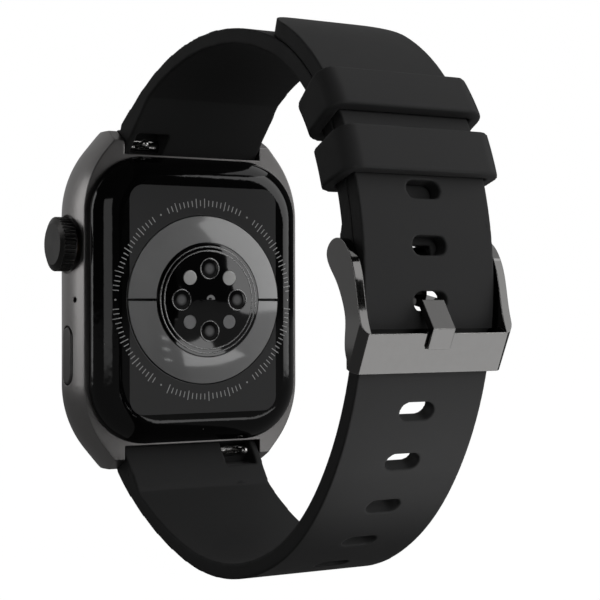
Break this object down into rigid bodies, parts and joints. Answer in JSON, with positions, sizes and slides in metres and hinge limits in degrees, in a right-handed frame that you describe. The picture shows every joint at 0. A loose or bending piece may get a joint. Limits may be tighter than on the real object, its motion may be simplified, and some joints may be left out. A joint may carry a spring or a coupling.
{
  "type": "smartwatch",
  "caption": "Rectangular smartwatch with a rotating push crown, side button, domed rear sensor and a tapered silicone strap closed by a pin buckle and two loops.",
  "frame": {"origin": "middle of the wrist, on the axis of the buckled strap loop, 30 mm behind the metal back face of the head", "axes": "+Z towards the 12 o'clock end of the head, -Y out of the display, +X towards the crown along the wrist's axis"},
  "size_m": [0.0387, 0.0707, 0.0712],
  "materials": {
    "frame_metal": "dark grey anodised, fine bead-blasted satin",
    "crown_metal": "dark anodised, turned face",
    "button_metal": "dark anodised, polished edge",
    "display_glass": "clear hardened glass with a black printed border",
    "display": "switched-off display",
    "adhesive": "matte black foam adhesive",
    "flex": "amber polyimide with copper",
    "chassis_plastic": "glass-filled nylon",
    "battery_wrap": "silver pouch foil",
    "board": "green solder mask",
    "chip": "moulded black epoxy",
    "tinned_steel": "tinned sheet steel",
    "steel": "turned stainless steel",
    "spring_steel": "drawn wire",
    "brass": "turned brass",
    "copper": "plated copper strip",
    "cover_black": "piano black, moulded",
    "half_ring": "dark vapour-coated plate",
    "sensor_black": "black tinted optical window",
    "silver": "bright silver line",
    "lens": "smoky moulded lens",
    "contact": "plated knurled contact",
    "led": "clear LED package",
    "magnet": "nickel plated",
    "plunger": "red switch button",
    "seal_rubber": "black nitrile",
    "strap_silicone": "matte black silicone",
    "keeper_silicone": "matte black silicone",
    "gunmetal": "polished gunmetal plating",
    "pin_steel": "ground steel"
  },
  "bodies": {
    "case": {"case_frame": "frame_metal", "front_glass": "display_glass", "display_gasket": "adhesive", "display_panel": "display", "display_flex": "flex", "inner_chassis": "chassis_plastic", "battery": "battery_wrap", "main_board": "board", "processor": "chip", "shield_can": "tinned_steel", "board_screws": "steel", "vibration_motor": "steel", "speaker": "chassis_plastic", "speaker_mesh": "tinned_steel", "microphone": "chip", "antenna": "copper", "rear_cover": "cover_black", "rear_gasket": "adhesive", "sensor_housing": "chassis_plastic", "upper_half_ring": "half_ring", "lower_half_ring": "half_ring", "sensor_window": "sensor_black", "accent_rings": "silver", "lens_rings": "silver", "sensor_lenses": "lens", "led_windows": "lens", "charging_contacts": "contact", "sensor_board": "board", "photodiodes": "chip", "sensor_leds": "led", "charger_magnets": "magnet", "crown_tube": "brass", "crown_o_ring": "seal_rubber", "crown_spring": "spring_steel", "crown_switch": "chassis_plastic", "button_switch": "chassis_plastic", "button_spring": "spring_steel", "key_flex": "flex", "strap_hole_side": "strap_silicone", "strap_buckle_side": "strap_silicone", "fixed_keeper": "keeper_silicone", "upper_bar_tube": "steel", "upper_bar_fixed_pin": "steel", "upper_bar_spring": "spring_steel", "lower_bar_tube": "steel", "lower_bar_fixed_pin": "steel", "lower_bar_spring": "spring_steel"},
    "crown_carrier": {"crown_plunger": "plunger"},
    "crown": {"crown_knob": "crown_metal", "crown_stem": "steel", "crown_clip": "steel", "encoder_wheel": "steel"},
    "button": {"button_cap": "button_metal", "button_seal": "seal_rubber"},
    "upper_release": {"upper_bar_release": "steel"},
    "lower_release": {"lower_bar_release": "steel"},
    "buckle": {"buckle_frame": "gunmetal", "buckle_pin": "pin_steel"},
    "tang": {"buckle_tang": "gunmetal"},
    "free_loop": {"free_keeper": "keeper_silicone"}
  },
  "joints": [
    {"name": "crown_press", "type": "slide", "parent": "case", "child": "crown_carrier", "axis": [-1, 0, 0], "range_m": [0, 0.0004], "stiffness_N_per_m": 6000, "springref_m": -0.0002, "deforming": ["crown_spring"]},
    {"name": "crown_turn", "type": "hinge", "parent": "crown_carrier", "child": "crown", "pos_m": [0.018, -0.0345, 0.008], "axis": [1, 0, 0], "continuous": true},
    {"name": "button_press", "type": "slide", "parent": "case", "child": "button", "axis": [-1, 0, 0], "range_m": [0, 0.00035], "stiffness_N_per_m": 6000, "springref_m": -0.0002, "deforming": ["button_spring"]},
    {"name": "upper_bar_release", "type": "slide", "parent": "case", "child": "upper_release", "axis": [-1, 0, 0], "range_m": [0, 0.0014], "stiffness_N_per_m": 800, "springref_m": -0.002, "deforming": ["upper_bar_spring"]},
    {"name": "lower_bar_release", "type": "slide", "parent": "case", "child": "lower_release", "axis": [1, 0, 0], "range_m": [0, 0.0014], "stiffness_N_per_m": 800, "springref_m": -0.002, "deforming": ["lower_bar_spring"]},
    {"name": "buckle_tilt", "type": "hinge", "parent": "case", "child": "buckle", "pos_m": [0, 0.02551, 0.0044], "axis": [1, 0, 0], "range_deg": [0, 4]},
    {"name": "tang_lift", "type": "hinge", "parent": "buckle", "child": "tang", "pos_m": [0, 0.02551, 0.0044], "axis": [1, 0, 0], "range_deg": [0, 4]},
    {"name": "keeper_slide", "type": "hinge", "parent": "case", "child": "free_loop", "pos_m": [0, -0.00157, 0.00628], "axis": [1, 0, 0], "range_deg": [-2.5, 20]}
  ]
}
